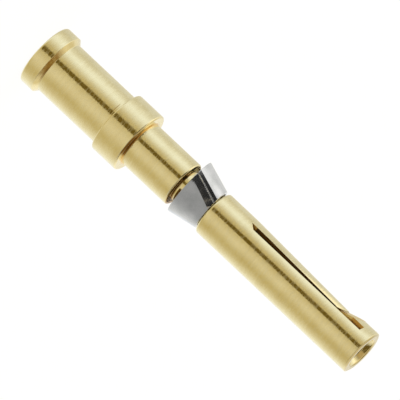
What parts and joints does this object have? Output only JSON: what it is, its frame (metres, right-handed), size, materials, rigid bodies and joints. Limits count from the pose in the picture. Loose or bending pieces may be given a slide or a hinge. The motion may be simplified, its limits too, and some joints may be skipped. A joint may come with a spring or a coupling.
{
  "type": "crimp socket contact",
  "caption": "Turned and plated crimp socket contact: flanged wire barrel, locating collar, neck with a rolled spring clip, and a socket barrel with a sprung tine behind a closed entry.",
  "frame": {"origin": "centre of the rear face, on which the contact stands", "axes": "+Z along the turning axis from the wire entry to the mating end; the sprung tine faces -X"},
  "size_m": [0.004, 0.004, 0.0251],
  "materials": {
    "contact_body": "turned copper alloy with pale gold plating, polished, fine tool marks",
    "retention_clip": "rolled stainless spring strip, smooth"
  },
  "bodies": {
    "root": {"contact_body": "contact_body", "retention_clip": "retention_clip"}
  },
  "joints": []
}
